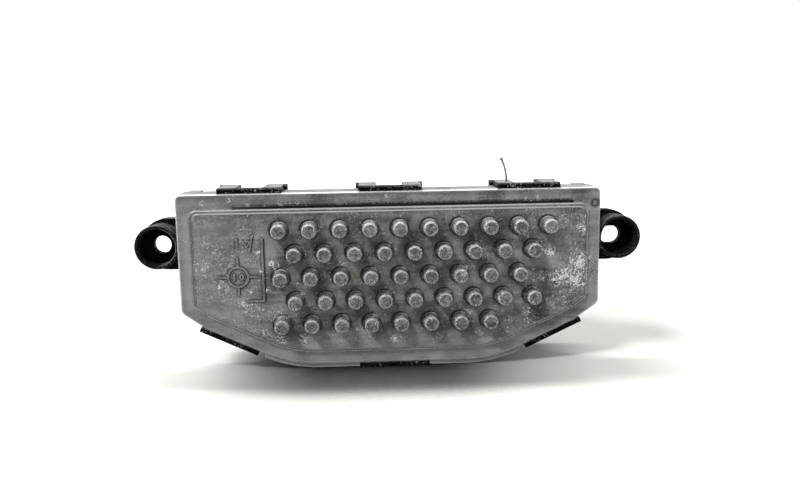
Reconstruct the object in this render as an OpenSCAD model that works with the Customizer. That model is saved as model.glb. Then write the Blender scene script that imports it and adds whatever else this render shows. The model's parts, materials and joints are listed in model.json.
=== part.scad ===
// Fan regulator: a cast pin heat sink, snapped into a moulded housing with two screw ears
// and two sockets at its back. Millimetres. X runs across, Y runs from the pins to the
// sockets and Z runs up. The part stands on its lower loop and the housing's lower edge.

/* [Casting] */
// Width of the casting across its front border
sink_w = 114; // [110:0.5:122]
// Height of the casting from its lower border edge to its top edge
sink_h = 47.2; // [46:0.1:52]
// Depth of the casting behind its front border
sink_depth = 9; // [8.5:0.1:11]
// Thickness of the front plate
plate_t = 2.5; // [2:0.1:3]
// Thickness of the side walls
sink_wall = 2; // [1.6:0.1:2.4]
// How far the side walls lean out towards the back
side_draft = 0.8; // [0.2:0.1:1]
// How far the upper, sloping and lower walls lean out towards the back
wall_draft = 0.3; // [0.1:0.05:0.5]
// Half length of the straight lower edge, before it is rounded
toe_x = 28; // [26:0.5:31]
// Distance of the bend in each sloping edge from the middle
knee_x = 50.3; // [48:0.1:52]
// Height of the bend in each sloping edge
knee_z = 10.5; // [9:0.1:12]
// Height at which the vertical sides end
shoulder_z = 15.2; // [14:0.1:17]
// Radius where the lower edge meets the sloping edges
toe_r = 35; // [20:1:40]
// Radius of the two upper corners
top_r = 1.6; // [1:0.1:3]
// Break of the border's front edge
border_break = 0.35; // [0.2:0.05:0.5]
// Drop of the lip along the lower edge
lip_drop = 1.3; // [0.8:0.1:1.5]
// Half width of the gap in the lip
lip_gap = 9.7; // [9.7:0.1:13]
// Distance of the lip's outer ends from the middle
lip_end = 35.3; // [33:0.1:36]

/* [Panel and pins] */
// Height of the raised panel over the border
panel_h = 1.5; // [1:0.1:2]
// Width of the border above the panel
border_top = 4.2; // [3.5:0.1:5]
// Width of the border beside the panel
border_side = 3.3; // [3:0.1:5]
// Width of the border below the panel and along the slopes
border_low = 3.5; // [3:0.1:4.5]
// Width of the step round the panel
panel_step = 0.8; // [0.6:0.05:1.2]
// Distance between pins in a row
pin_pitch = 8; // [6.5:0.1:8.3]
// Shift of every second row
row_shift = 3.8; // [3.5:0.1:4]
// Distance between rows
row_pitch = 6.4; // [5.5:0.1:6.6]
// Number of rows
pin_rows = 5; // [3:1:5]
// Pins in the top row
top_row_pins = 10; // [5:1:10]
// Pins in each middle row
mid_row_pins = 9; // [5:1:9]
// Pins in the bottom row
low_row_pins = 8; // [4:1:8]
// Distance of the first pin from the middle
first_pin_x = 29.6; // [26:0.1:31]
// Distance of the top row below the top edge
first_row_drop = 9.85; // [9:0.05:11]
// Length of a pin over the panel
pin_l = 4; // [2:0.1:6]
// Diameter of a pin at its tip
pin_tip_d = 3.9; // [2.5:0.1:4.2]
// Diameter of a pin at its foot
pin_foot_d = 4.3; // [4.2:0.1:5]

/* [Snap loops] */
// Width of a loop on the top and on the slopes
loop_w = 17; // [15:0.5:18]
// Width of the loop at the bottom
low_loop_w = 18.8; // [16:0.2:19]
// Distance of the lower loop from the middle
low_loop_x = 0.5; // [0:0.1:1]
// Thickness of a loop
loop_t = 1.4; // [1.3:0.1:1.7]
// Depth of a loop's front bar
bar_d = 1.6; // [1.2:0.1:2]
// Width of the window in a loop
window_w = 7.2; // [5:0.1:8]
// Distance of the outer upper loops from the middle
top_loop_x = 37.5; // [30:0.5:40]
// Distance of the sloping loops from the middle
slope_loop_x = 44.2; // [43.5:0.1:45]
// Gap between a loop and the casting
loop_fit = 0.1; // [0.05:0.01:0.2]

/* [Screw ears] */
// Distance of each screw hole from the casting's side
ear_out = 5.5; // [5.2:0.1:9]
// Height of the screw holes over the lower border edge
ear_z = 33.3; // [26:0.1:37]
// Outer diameter of the tube
tube_d = 11.9; // [11:0.1:12]
// Bore of the tube
socket_d = 9.8; // [7:0.1:9.9]
// Depth of the bore
socket_l = 6; // [4:0.1:6.2]
// Diameter of the screw hole
screw_d = 4.8; // [4:0.1:5.5]
// Length of the slotted hole in the right ear
slot_l = 5.9; // [5.6:0.1:6.5]
// Thickness of the floor under the screw head
ear_floor = 2; // [1.5:0.1:2.4]
// Diameter of the pocket for the screw head
pocket_d = 9.2; // [8:0.1:9.6]
// Radius of the lug round the tube
lug_r = 7.1; // [6.8:0.1:7.4]

/* [Housing] */
// Thickness of the housing's flange
flange_t = 2.2; // [2:0.1:3]
// Thickness of the cover's walls
cover_wall = 2; // [1.6:0.1:2.4]
// Distance from the casting's sides to the cover
cover_side = 9; // [7.5:0.5:9.5]
// Distance from the casting's top edge to the cover
cover_top = 4; // [3.5:0.5:4.5]
// Height of the cover's lower edge
cover_low = 5; // [4.5:0.1:5.2]
// Room behind the circuit board
cover_room = 10.6; // [10.4:0.1:14]
// Break of the cover's rear edge
cover_break = 1.2; // [0.6:0.1:1.5]

/* [Sockets] */
// Width of the harness socket
harness_w = 34; // [32:0.5:36]
// Width of the motor socket
motor_w = 22; // [20:0.5:24]
// Height of both sockets
socket_h = 15; // [13:0.5:17]
// Depth of both sockets
socket_depth = 10; // [8:0.5:12]
// Wall of the sockets
socket_wall = 1.5; // [1.2:0.1:1.8]
// Distance of the harness socket from the middle
harness_x = 17; // [16:0.5:18]
// Distance of the motor socket from the middle
motor_x = 20; // [18:0.5:21]
// Height of the sockets' middle line
socket_z = 24; // [23.5:0.1:24.4]
// Width of a blade terminal
blade_w = 6.3; // [4.8:0.1:6.3]
// Thickness of a terminal
blade_t = 0.8; // [0.6:0.05:1]
// Distance between the motor blades
motor_blade_pitch = 10; // [9:0.5:11]
// Distance between the supply blades
supply_blade_pitch = 21; // [19:0.5:22]
// Distance between the signal pins
signal_pitch = 2.5; // [2:0.1:2.8]
// Thickness of a signal pin
signal_t = 0.64; // [0.5:0.02:0.8]

/* [Electronics] */
// Thickness of the circuit board
board_t = 1.6; // [1:0.1:2]
// Thickness of a transistor package
package_t = 4.8; // [4:0.1:5]
// Width of a transistor package
package_w = 15.6; // [14:0.1:16]
// Height of a transistor package
package_h = 20.8; // [19:0.1:21]
// Distance of each transistor from the middle
package_x = 13; // [12.5:0.1:14]
// Thickness of a thermal pad
pad_t = 0.3; // [0.2:0.05:0.5]
// Thickness of the clamp spring
clamp_t = 0.8; // [0.5:0.1:1]
// Diameter of the capacitor
capacitor_d = 10; // [8:0.1:10]
// Length of the capacitor
capacitor_l = 16; // [12:0.5:17]
// Outer diameter of the choke core
choke_d = 12.6; // [11:0.1:13]
// Height of the choke core
choke_h = 6; // [5:0.1:7]
// Thickness of the choke's wire
wire_d = 0.9; // [0.7:0.05:1]

/* [Stem] */
// Thickness of the dry stem
stem_d = 0.6; // [0.4:0.05:0.8]
// Bend radius of the dry stem
stem_bend = 14; // [10:0.5:20]

/* [Hidden] */

$fn = 48;
// Small overrun of a cut past the face that it opens
cut = 0.5;
// Clearance of a screw in what it holds down
screw_fit = 0.25;
// Depth by which shapes of one piece run into each other
weld = 0.2;
// Clearance of a terminal, a lead or a screw in its hole
hole_fit = 0.05;

// Levels along Y, measured from the border's front face
tip_y = -panel_h - pin_l;
flange_y = sink_depth + flange_t;
package_y = plate_t + pad_t;
clamp_y = package_y + package_t;
board_gap = 1.5;
board_y = clamp_y + clamp_t + board_gap;
board_rear = board_y + board_t;
cover_in = board_rear + cover_room;
cover_out = cover_in + flange_t;
socket_y = cover_out + socket_depth;

// The part is centred on its depth and lifted onto its lowest loop
foot = loop_t + loop_fit;
centre_y = -(tip_y + socket_y) / 2;

module placed() {
    translate([0, centre_y, foot]) children();
}

// Extrudes a drawing of the XZ plane from y0 to y1
module slab(y0, y1) {
    translate([0, y1, 0]) rotate([90, 0, 0]) linear_extrude(y1 - y0) children();
}

// Extrudes a drawing of the YZ plane from x0 to x1
module across(x0, x1) {
    translate([x0, 0, 0]) rotate([90, 0, 90]) linear_extrude(x1 - x0) children();
}

// Round bar along Y
module rod(x, z, r, y0, y1) {
    translate([x, y0, z]) rotate([-90, 0, 0]) cylinder(h = y1 - y0, r = r);
}

// Body of revolution about a line along Y, from a profile of [radius, y]
module turned(x, z, profile) {
    translate([x, 0, z]) rotate([-90, 0, 0]) rotate_extrude() polygon(profile);
}

// Rectangle with round corners, centred on x and z
module pill(x, z, w, h, r) {
    translate([x, z]) union() {
        square([w - 2 * r, h], center = true);
        square([w, h - 2 * r], center = true);
        for (i = [-1, 1], j = [-1, 1]) translate([i * (w / 2 - r), j * (h / 2 - r)]) circle(r);
    }
}

// Round hole of diameter d, or a slot of length l along X
module slotted_hole(x, z, l, d, y0, y1) {
    half = (l - d) / 2;
    for (s = half > 0 ? [-1, 1] : [0]) rod(x + s * half, z, d / 2, y0, y1);
    if (half > 0) slab(y0, y1) translate([x - half, z - d / 2]) square([2 * half, d]);
}

// Rounded outlines: each edge is moved inwards by its own inset, then each corner is rounded
function unit(v) = v / norm(v);
function left_of(v) = [-v.y, v.x];
function crossing(p, u, q, v) = p + u * cross(q - p, v) / cross(u, v);
function edge_dir(c, i) = unit(c[(i + 1) % len(c)] - c[i]);
function edge_start(c, i, d) = c[i] + left_of(edge_dir(c, i)) * d[i];
function corner(c, i, d) = let (p = (i + len(c) - 1) % len(c))
    crossing(edge_start(c, p, d), edge_dir(c, p), edge_start(c, i, d), edge_dir(c, i));
function corner_arc(v, u, w, r, steps) = let (
        turn = acos(u * w),
        start = v - u * r * tan(turn / 2),
        centre = start + left_of(u) * r,
        first = atan2(start.y - centre.y, start.x - centre.x))
    [for (k = [0 : steps]) centre + r * [cos(first + turn * k / steps), sin(first + turn * k / steps)]];
function rounded(c, d, radii, steps) = [for (i = [0 : len(c) - 1])
    each corner_arc(corner(c, i, d), edge_dir(c, (i + len(c) - 1) % len(c)), edge_dir(c, i),
        radii[i], steps[i])];

// Outline of the casting: flat top, upright sides, two sloping lower corners and a flat bottom.
// The insets are given as [top, side, slope, bottom].
sink_corners = [[-toe_x, 0], [toe_x, 0], [knee_x, knee_z], [sink_w / 2, shoulder_z],
    [sink_w / 2, sink_h], [-sink_w / 2, sink_h], [-sink_w / 2, shoulder_z], [-knee_x, knee_z]];
knee_r = 8;
shoulder_r = 2.2;
sink_radii = [toe_r, toe_r, knee_r, shoulder_r, top_r, top_r, shoulder_r, knee_r];
sink_steps = [9, 9, 2, 5, 6, 6, 5, 2];
function sink_outline(d, r_min = 0.8) = rounded(sink_corners,
    [d[3], d[2], d[2], d[1], d[0], d[1], d[2], d[2]],
    [for (r = sink_radii) max(r - d[2], r_min)], sink_steps);
function all_round(d) = [d, d, d, d];
draft = [wall_draft, side_draft, wall_draft, wall_draft];
function leaned(y) = -draft * y / sink_depth;

// Solid through outlines that stand at levels along Y, each given as [y, outline]
module loft(levels) {
    n = len(levels[0][1]);
    last = len(levels) - 1;
    points = [for (l = levels, p = l[1]) [p.x, l[0], p.y]];
    front = [for (i = [n - 1 : -1 : 0]) i];
    back = [for (i = [0 : n - 1]) last * n + i];
    sides = [for (k = [0 : last - 1], i = [0 : n - 1]) let (j = (i + 1) % n)
        [k * n + i, k * n + j, (k + 1) * n + j, (k + 1) * n + i]];
    polyhedron(points, concat([front, back], sides));
}

// Places on the casting's edge where a loop grips: [x, z, turn about Y, width of the loop]
slope_angle = atan2(knee_z, knee_x - toe_x);
slope_loop_z = (slope_loop_x - toe_x) * tan(slope_angle);
grips = [[-top_loop_x, sink_h, 0, loop_w], [0, sink_h, 0, loop_w], [top_loop_x, sink_h, 0, loop_w],
    [slope_loop_x, slope_loop_z, 180 - slope_angle, loop_w],
    [-slope_loop_x, slope_loop_z, slope_angle - 180, loop_w], [low_loop_x, 0, 180, low_loop_w]];
module at_grip(g) {
    translate([g[0], 0, g[1]]) rotate([0, g[2], 0]) children();
}

bar_y = 0.15;
window_y = bar_y + bar_d;
lug_y = window_y + 0.15;
grip_l = 4;
grip_short = 0.4;
grip_h = foot - grip_short;
grip_gap = 0.4;

// Wedge that holds a loop's bar from behind
module grip_wedge() {
    across(-window_w / 2 + grip_gap, window_w / 2 - grip_gap)
        polygon([[lug_y, -1], [lug_y, grip_h], [lug_y + 0.8, grip_h],
            [lug_y + grip_l, wall_draft + 0.2], [lug_y + grip_l, -1]]);
}

// Pins
function row_pins(i) = i == 0 ? top_row_pins : i == pin_rows - 1 ? low_row_pins : mid_row_pins;
tip_break = 0.4;
foot_fillet = 0.25;
pin_sink = 0.2;
pin_profile = [[0, pin_sink], [pin_foot_d / 2 + foot_fillet, pin_sink],
    [pin_foot_d / 2 + foot_fillet, 0], [pin_foot_d / 2, -foot_fillet],
    [pin_tip_d / 2, -pin_l + tip_break], [pin_tip_d / 2 - tip_break, -pin_l], [0, -pin_l]];
module pins() {
    for (i = [0 : pin_rows - 1], j = [0 : row_pins(i) - 1])
        translate([0, -panel_h, 0])
            turned(pin_pitch * j + row_shift * (i % 2) - first_pin_x,
                sink_h - first_row_drop - i * row_pitch, pin_profile);
}

// Raised panel in two steps, each with a broken edge
panel_inset = [border_top, border_side, border_low, border_low];
panel_r = 2;
step_break = 0.3;
module panel() {
    half = panel_h / 2;
    edge = function(d) sink_outline(panel_inset + all_round(d), panel_r);
    loft([[-half, edge(step_break)], [step_break - half, edge(0)], [cut, edge(0)]]);
    loft([[-panel_h, edge(panel_step + step_break)], [step_break - panel_h, edge(panel_step)],
        [cut, edge(panel_step)]]);
}

// Lip under the lower edge, left open for the lower loop
lip_y = 0.7;
lip_t = 2.4;
lip_break = 0.3;
module lip() {
    drop = [0, 0, -lip_drop, -lip_drop];
    intersection() {
        loft([[lip_y, sink_outline(drop + all_round(lip_break))],
            [lip_y + lip_break, sink_outline(drop)], [lip_y + lip_t, sink_outline(drop)]]);
        for (s = [-1, 1])
            slab(0, sink_depth)
                polygon([[low_loop_x + s * lip_gap, -2 * lip_drop], [low_loop_x + s * lip_gap, 1.5],
                    [s * (lip_end - 2), border_low + 2], [s * lip_end, border_low + 1],
                    [s * lip_end, -2 * lip_drop]]);
    }
}

// Cast marks on the panel: a dial with four ticks, strokes above it and an angled line
mark_h = 0.3;
mark_w = 0.5;
dial_x = -41;
dial_z = 25.1;
dial_r = 2.9;
tick_l = 2.3;
dial_bar = [-1, 1.8];
dial_ring = [0.9, 0.75];
bar_rise = [7.5, 10.4];
triangle_at = [2.6, 9];
triangle_r = 1.3;
slant = [[3.2, 6.6], [4.2, 11.6]];
line_x = -34.6;
line_low = 18.2;
line_high = 35.4;
line_foot = 4.2;
module stroke(a, b) {
    translate((a + b) / 2) rotate(atan2(b.y - a.y, b.x - a.x))
        square([norm(b - a), mark_w], center = true);
}
module hoop(r, sides) {
    difference() {
        circle(r, $fn = sides);
        circle(r - mark_w, $fn = sides);
    }
}
module cast_marks() {
    slab(-panel_h - mark_h, -panel_h + 0.1) {
        translate([dial_x, dial_z]) {
            hoop(dial_r, $fn);
            for (k = [0 : 3])
                rotate(k * 90) stroke([dial_r - mark_w / 2, 0], [dial_r + tick_l, 0]);
            stroke([dial_bar.x, -dial_bar.y / 2], [dial_bar.x, dial_bar.y / 2]);
            translate([dial_ring.x, 0]) scale([0.8, 1.2]) hoop(dial_ring.y, $fn);
            stroke([0, bar_rise.x], [0, bar_rise.y]);
            translate(triangle_at) rotate(-90) hoop(triangle_r, 3);
            stroke(slant[0], slant[1]);
        }
        translate([line_x, line_low]) square([mark_w, line_high - line_low]);
        translate([line_x - line_foot, line_low]) square([line_foot + mark_w, mark_w]);
    }
}

// Posts inside the casting, for the board's screws and the clamp's screw
post_r = 3.2;
screw_r = 1.25;
pilot_r = screw_r + hole_fit;
pilot_spare = 0.4;
board_grip = 4.6;
clamp_grip = 3.8;
post_side = 8;
post_toe = 1;
post_drop = 5.7;
post_low = 10.5;
cover_x = sink_w / 2 - cover_side;
cover_roof = sink_h - cover_top - cover_wall;
board_posts = [for (s = [-1, 1]) each [[s * (cover_x - post_side), cover_roof - post_drop],
    [s * (toe_x + post_toe), cover_low + post_low]]];
clamp_z = 29;
module post(x, z, y, grip_l) {
    difference() {
        rod(x, z, post_r, plate_t - weld, y);
        rod(x, z, pilot_r, y - grip_l - pilot_spare, y + cut);
    }
}
module posts() {
    for (p = board_posts) post(p.x, p.y, board_y, board_grip);
    post(0, clamp_z, clamp_y, clamp_grip);
}

// Shallow groove over the panel, and a round ejector mark
groove_w = 0.7;
groove_d = 0.6;
groove_left = 15;
groove_right = 7.4;
mark_inset = [1.5, 4.3];
ejector_r = 1;
ejector_d = 0.25;
module border_cuts() {
    slab(-cut, groove_d) translate([groove_left - sink_w / 2, sink_h - border_top])
        square([sink_w - groove_left - groove_right, groove_w]);
    difference() {
        rod(sink_w / 2 - mark_inset.x, sink_h - mark_inset.y, ejector_r, -cut, ejector_d);
        rod(sink_w / 2 - mark_inset.x, sink_h - mark_inset.y, ejector_r * 0.6, -cut, ejector_d);
    }
}

// Low pads at the back of the top wall, near its corners
pad_inset = 4;
pad_w = 3.4;
pad_rise = 0.35;
pad_l = 3;
pad_ramp = 1.5;
module rear_pad(x) {
    top = sink_h + wall_draft;
    across(x - pad_w / 2, x + pad_w / 2)
        polygon([[sink_depth - pad_l, sink_h - sink_wall / 2], [sink_depth - pad_l, top],
            [sink_depth - pad_l + pad_ramp, top + pad_rise], [sink_depth, top + pad_rise],
            [sink_depth, sink_h - sink_wall / 2]]);
}

module heat_sink() {
    color("darkgray") placed() {
        difference() {
            union() {
                loft([[0, sink_outline(all_round(border_break))],
                    [border_break, sink_outline(leaned(border_break))],
                    [sink_depth, sink_outline(leaned(sink_depth))]]);
                panel();
                lip();
                for (g = grips) at_grip(g) grip_wedge();
                for (s = [-1, 1]) rear_pad(s * (sink_w / 2 - pad_inset));
            }
            loft([[plate_t, sink_outline(all_round(sink_wall) + leaned(plate_t))],
                [sink_depth + cut, sink_outline(all_round(sink_wall) + leaned(sink_depth + cut))]]);
            border_cuts();
        }
        posts();
        pins();
        cast_marks();
    }
}

// Snap loop in the frame of its grip: X along the edge, Z outwards. Its window holds the wedge
// and opens to the back as a notch between its two legs
loop_edge_r = 0.5;
bar_break = 0.4;
window_end = 0.6;
notch_floor = 0.9;
root_out = 0.8;
root_break = 0.6;
module snap_loop(w, lean) {
    inner = function(y) loop_fit + wall_draft * y / sink_depth;
    top = foot + lean;
    difference() {
        union() {
            intersection() {
                across(-w / 2, w / 2)
                    polygon([[bar_y, inner(bar_y)], [flange_y, inner(flange_y)], [flange_y, top],
                        [bar_y + bar_break, foot + lean * bar_break / (flange_y - bar_y)],
                        [bar_y, foot - bar_break]]);
                slab(0, flange_y) pill(0, 0, w, 2 * top, loop_edge_r);
            }
            across(-w / 2 - root_out, w / 2 + root_out)
                polygon([[sink_depth, -sink_wall], [flange_y, -sink_wall], [flange_y, top],
                    [sink_depth + root_break, top], [sink_depth, top - root_break]]);
        }
        translate([-window_w / 2, window_y, -cut])
            cube([window_w, sink_depth - window_y - window_end, top + 2 * cut]);
        translate([-window_w / 2, window_y, notch_floor])
            cube([window_w, flange_y - window_y + cut, top]);
    }
}

// Screw ear on the right side: a tube with a blind bore, a floor with the screw hole
// and a pocket behind it for the screw's head
tube_y = 0.3;
ear_clear = 0.15;
ear_x = sink_w / 2 + ear_out;
lug_shift = 1.3;
lug_t = 4.5;
lug_root = 4;
rim_break = 0.3;
slot_shift = 0.6;
tube_break = 0.25;
module ear(hole_l, shift) {
    floor_y = tube_y + socket_l;
    difference() {
        union() {
            turned(ear_x, ear_z, [[0, tube_y], [tube_d / 2 - tube_break, tube_y],
                [tube_d / 2, tube_y + tube_break], [tube_d / 2, flange_y], [0, flange_y]]);
            slab(flange_y - lug_t, flange_y) {
                translate([ear_x - lug_shift, ear_z]) circle(lug_r);
                translate([sink_w / 2 - lug_root, ear_z - lug_r])
                    square([ear_out - lug_shift + lug_root, 2 * lug_r]);
            }
        }
        turned(ear_x, ear_z, [[0, tube_y - cut], [socket_d / 2 + rim_break, tube_y - cut],
            [socket_d / 2 + rim_break, tube_y], [socket_d / 2, tube_y + rim_break],
            [socket_d / 2, floor_y], [0, floor_y]]);
        slotted_hole(ear_x - shift, ear_z, hole_l, screw_d, floor_y - cut, floor_y + ear_floor + cut);
        rod(ear_x, ear_z, pocket_d / 2, floor_y + ear_floor, flange_y + cut);
        loft([[-cut, sink_outline(all_round(-ear_clear))],
            [sink_depth, sink_outline(leaned(sink_depth) - all_round(ear_clear))]]);
    }
}

// Outline of the cover behind the flange, moved inwards by d
cover_toe_in = 3;
cover_toe = toe_x - cover_toe_in;
cover_slope_z = cover_low + (cover_x - cover_toe) * tan(slope_angle);
cover_corners = [[-cover_toe, cover_low], [cover_toe, cover_low], [cover_x, cover_slope_z],
    [cover_x, sink_h - cover_top], [-cover_x, sink_h - cover_top], [-cover_x, cover_slope_z]];
cover_toe_r = 12;
cover_corner_r = 4;
cover_radii = [cover_toe_r, cover_toe_r, each [for (k = [1 : 4]) cover_corner_r]];
cover_draft = 0.2;
flange_inset = 0.5;
cover_steps = [4, 4, 5, 6, 6, 5];
function cover_outline(d) = rounded(cover_corners, [for (c = cover_corners) d],
    [for (r = cover_radii) max(r - d, 0.8)], cover_steps);

// Socket: a rounded shroud with a latch on top and two guide ribs below
shroud_r = 2.5;
latch_w = 6;
latch_h = 1.3;
latch_back = 6;
latch_flat = 1;
latch_front = 1.5;
rib_w = 1.2;
rib_h = 1.2;
rib_back = 1;
key_w = 1;
key_h = 0.8;
module shroud(x, w) {
    top = socket_z + socket_h / 2;
    low = socket_z - socket_h / 2;
    slab(cover_out - weld, socket_y) pill(x, socket_z, w, socket_h, shroud_r);
    across(x - latch_w / 2, x + latch_w / 2)
        polygon([[socket_y - latch_back, top - socket_wall / 2], [socket_y - latch_back, top + latch_h],
            [socket_y - latch_back + latch_flat, top + latch_h], [socket_y - latch_front, top],
            [socket_y - latch_front, top - socket_wall / 2]]);
    for (s = [-1, 1])
        across(x + s * w / 4 - rib_w / 2, x + s * w / 4 + rib_w / 2)
            polygon([[cover_out - weld, low - rib_h], [socket_y - rib_back - rib_h, low - rib_h],
                [socket_y - rib_back, low], [socket_y - rib_back, low + socket_wall / 2],
                [cover_out - weld, low + socket_wall / 2]]);
}
module shroud_room(x, w) {
    low = socket_z - socket_h / 2 + socket_wall;
    difference() {
        slab(cover_out, socket_y + cut)
            pill(x, socket_z, w - 2 * socket_wall, socket_h - 2 * socket_wall, shroud_r - socket_wall);
        for (s = [-1, 1])
            translate([x + s * w / 4 - key_w / 2, cover_out - cut, low - cut])
                cube([key_w, socket_depth - rib_back + cut, key_h + cut]);
    }
}

// Places of the terminals along X
motor_blades_x = [for (s = [-1, 1]) motor_x + s * motor_blade_pitch / 2];
supply_blades_x = [for (s = [-1, 1]) -harness_x + s * supply_blade_pitch / 2];
signal_pins_x = [for (k = [-1 : 1]) -harness_x + k * signal_pitch];

// Webs between the flange and the cover's sides
web_t = 1.6;
web_reach = 6;
web_drops = [9.5, 23.5];
module webs() {
    root = cover_x - cover_wall / 2;
    for (s = [-1, 1], drop = web_drops)
        translate([0, 0, sink_h - drop - web_t / 2]) linear_extrude(web_t)
            polygon([[s * root, flange_y - weld], [s * (cover_x + web_reach), flange_y - weld],
                [s * cover_x, cover_in - cover_break], [s * root, cover_in - cover_break]]);
}

// Rim that enters the casting's mouth and centres the housing
rim_fit = 0.25;
rim_t = 1.4;
rim_l = 1.6;
rim_inset = all_round(sink_wall + rim_fit) + leaned(sink_depth - rim_l);

module housing() {
    color([0.09, 0.09, 0.09]) placed() {
        difference() {
            union() {
                slab(sink_depth, flange_y)
                    polygon(sink_outline([flange_inset, 0, flange_inset, -foot]));
                slab(sink_depth - rim_l, sink_depth + weld) difference() {
                    polygon(sink_outline(rim_inset));
                    polygon(sink_outline(rim_inset + all_round(rim_t)));
                }
                loft([[flange_y - weld, cover_outline(0)],
                    [cover_out - cover_break, cover_outline(cover_draft)],
                    [cover_out, cover_outline(cover_draft + cover_break)]]);
                webs();
                shroud(-harness_x, harness_w);
                shroud(motor_x, motor_w);
            }
            slab(sink_depth - cut, cover_in) polygon(cover_outline(cover_wall));
            shroud_room(-harness_x, harness_w);
            shroud_room(motor_x, motor_w);
            for (x = concat(motor_blades_x, supply_blades_x))
                translate([x - blade_t / 2 - hole_fit, cover_in - cut, socket_z - blade_w / 2 - hole_fit])
                    cube([blade_t + 2 * hole_fit, flange_t + 2 * cut, blade_w + 2 * hole_fit]);
            for (x = signal_pins_x)
                translate([x - signal_t / 2 - hole_fit, cover_in - cut, socket_z - signal_t / 2 - hole_fit])
                    cube([signal_t + 2 * hole_fit, flange_t + 2 * cut, signal_t + 2 * hole_fit]);
        }
        for (g = grips) at_grip(g) snap_loop(g[3], g[1] == 0 ? 0 : wall_draft);
        ear(slot_l, slot_shift);
        mirror([1, 0, 0]) ear(screw_d, 0);
    }
}

// Circuit board inside the cover's mouth
board_fit = 0.5;
tail_w = 2.5;
tail_out = 0.8;
lead_w = 1.2;
lead_t = 0.6;
lead_pitch = 5.45;
lead_run = 3;
package_drop = 3;
package_z = clamp_z - package_drop;
package_low = package_z - package_h / 2;
lead_z = package_low - lead_run;
access_r = 3.6;
lead_hole_r = 0.85;
capacitor_inset = 22;
capacitor_drop = 7.8;
capacitor_x = capacitor_inset - cover_x;
capacitor_z = cover_roof - capacitor_drop;
capacitor_lead_r = 0.35;
capacitor_lead_pitch = 5;
module circuit_board() {
    color("darkgreen") placed() difference() {
        slab(board_y, board_rear) polygon(cover_outline(cover_wall + board_fit));
        for (p = board_posts) rod(p.x, p.y, screw_r + screw_fit, board_y - cut, board_rear + cut);
        rod(0, clamp_z, access_r, board_y - cut, board_rear + cut);
        for (x = concat(motor_blades_x, supply_blades_x))
            translate([x - blade_t / 2 - hole_fit, board_y - cut, socket_z - tail_w / 2 - hole_fit])
                cube([blade_t + 2 * hole_fit, board_t + 2 * cut, tail_w + 2 * hole_fit]);
        for (x = signal_pins_x) rod(x, socket_z, signal_t * 0.75, board_y - cut, board_rear + cut);
        for (s = [-1, 1], k = [-1 : 1])
            rod(s * package_x + k * lead_pitch, lead_z, lead_hole_r, board_y - cut, board_rear + cut);
        for (s = [-1, 1])
            rod(capacitor_lead_x, capacitor_z + s * capacitor_lead_pitch / 2, capacitor_lead_r + 0.1,
                board_y - cut, board_rear + cut);
    }
}

// Transistor packages with bevelled fronts and a fixing hole
package_bevel = 0.6;
package_hole_r = 1.75;
package_hole_drop = 3.2;
module power_transistors() {
    color([0.12, 0.12, 0.12]) placed()
        for (s = [-1, 1]) difference() {
            across(s * package_x - package_w / 2, s * package_x + package_w / 2)
                polygon([[package_y, package_low], [package_y, package_low + package_h],
                    [clamp_y - package_bevel, package_low + package_h],
                    [clamp_y, package_low + package_h - package_bevel],
                    [clamp_y, package_low + package_bevel], [clamp_y - package_bevel, package_low]]);
            rod(s * package_x, package_low + package_h - package_hole_drop, package_hole_r,
                package_y - cut, clamp_y + cut);
        }
}

// Three leads on each package, bent back through the board
module transistor_leads() {
    y0 = package_y + package_t * 0.4;
    y1 = board_rear + tail_out;
    color("silver") placed()
        for (s = [-1, 1], k = [-1 : 1])
            across(s * package_x + k * lead_pitch - lead_w / 2, s * package_x + k * lead_pitch + lead_w / 2)
                polygon([[y0, package_low], [y0, lead_z - lead_t / 2], [y1, lead_z - lead_t / 2],
                    [y1, lead_z + lead_t / 2], [y0 + lead_t, lead_z + lead_t / 2],
                    [y0 + lead_t, package_low]]);
}

pad_margin = 0.8;
module thermal_pads() {
    color("lightgray") placed()
        for (s = [-1, 1])
            translate([s * package_x - package_w / 2 - pad_margin, plate_t, package_low - pad_margin])
                cube([package_w + 2 * pad_margin, pad_t, package_h + 2 * pad_margin]);
}

// Leaf spring that lies on both packages and on its post
clamp_w = 10;
clamp_half = package_x + package_w / 2 - 1;
clamp_turn = 1.1;
module clamp_spring() {
    flat = clamp_half - clamp_turn;
    skin = clamp_t * 0.4;
    side = [[flat, clamp_y], [clamp_half, clamp_y + clamp_turn],
        [clamp_half - skin, clamp_y + clamp_turn + skin], [flat - skin, clamp_y + clamp_t]];
    color("silver") placed() difference() {
        translate([0, 0, clamp_z - clamp_w / 2]) linear_extrude(clamp_w)
            polygon(concat(side, [for (k = [3 : -1 : 0]) [-side[k].x, side[k].y]]));
        rod(0, clamp_z, screw_r + screw_fit, clamp_y - cut, clamp_y + clamp_t + cut);
    }
}

// Pan head screw with a cross recess: head on the face at y, shank of length l in front of it
head_r = 2.7;
head_h = 1.9;
head_bevel = 0.7;
point_r = 0.85;
point_l = 0.8;
recess = [2.8, 2, 0.6];
module pan_screw(x, z, y, l) {
    difference() {
        turned(x, z, [[0, y - l], [point_r, y - l], [screw_r, y - l + point_l], [screw_r, y], [head_r, y],
            [head_r, y + head_h / 2], [head_r - head_bevel, y + head_h], [0, y + head_h]]);
        for (a = [0, 90])
            translate([x, y + head_h, z]) rotate([0, a, 0]) cube(recess, center = true);
    }
}
module clamp_screw() {
    color("silver") placed() pan_screw(0, clamp_z, clamp_y + clamp_t, clamp_t + clamp_grip);
}
module board_screws() {
    color("silver") placed() for (p = board_posts) pan_screw(p.x, p.y, board_rear, board_t + board_grip);
}

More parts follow.
